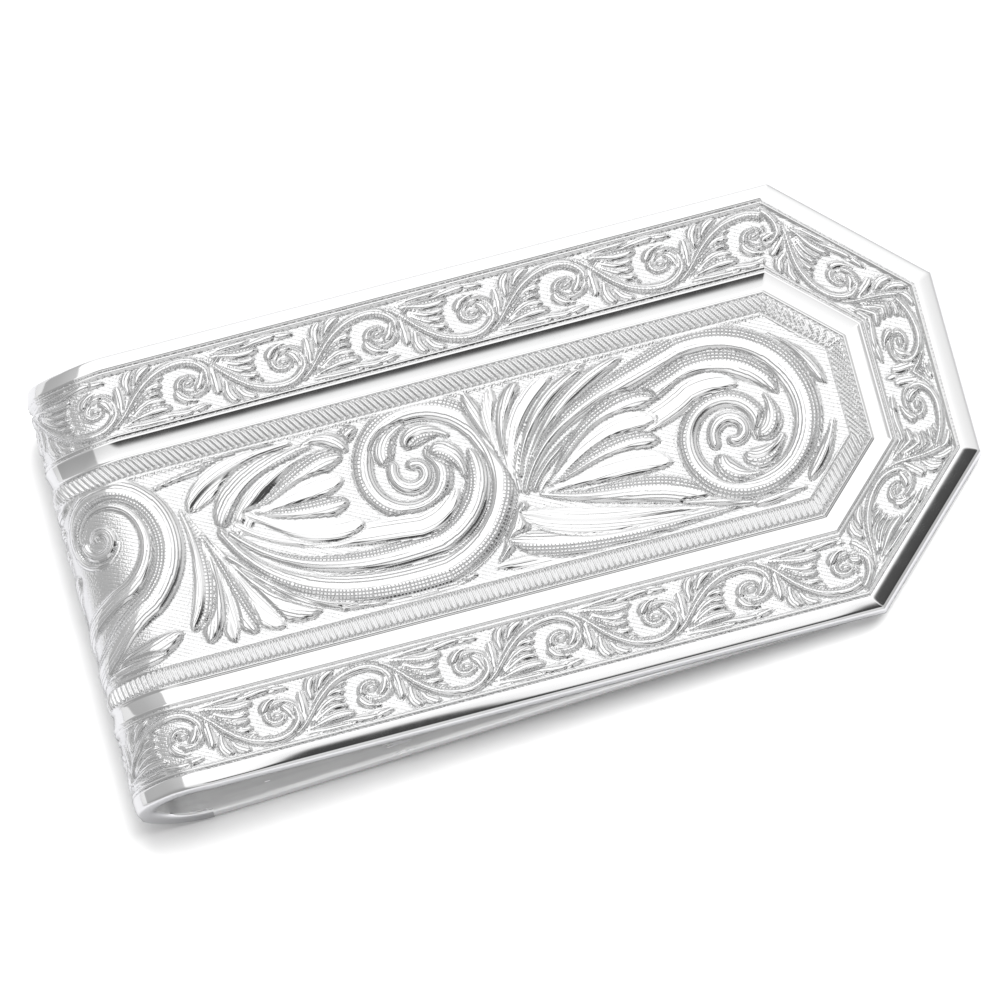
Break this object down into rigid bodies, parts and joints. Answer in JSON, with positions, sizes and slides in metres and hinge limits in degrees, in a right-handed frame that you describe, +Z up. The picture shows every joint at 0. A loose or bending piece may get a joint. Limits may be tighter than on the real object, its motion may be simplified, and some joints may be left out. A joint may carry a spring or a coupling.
{
  "type": "money clip",
  "caption": "Folded strip money clip: a long engraved front plate with a cornered tip, a rounded bow and a spring leaf that pinches folded notes.",
  "frame": {"origin": "centre of the footprint on the plane the clip lies on, under the middle of its length and width", "axes": "+Z up, +X from the bow towards the tip of the front plate, +Y across the clip; the clip lies on its spring leaf, so the front plate slopes down towards the tip"},
  "size_m": [0.054, 0.0276, 0.0071],
  "materials": {
    "silver_plate": "polished silver plate, engraved on the outer face"
  },
  "bodies": {
    "leaf": {"spring_leaf": "silver_plate"},
    "front": {"front_plate": "silver_plate", "bow": "silver_plate"}
  },
  "joints": [
    {"name": "spring_open", "type": "hinge", "parent": "leaf", "child": "front", "pos_m": [-0.02283, 0, 0.00017], "axis": [0, -1, 0], "range_deg": [0, 8], "stiffness_Nm_per_rad": 0.4, "springref_deg": -11.46}
  ]
}
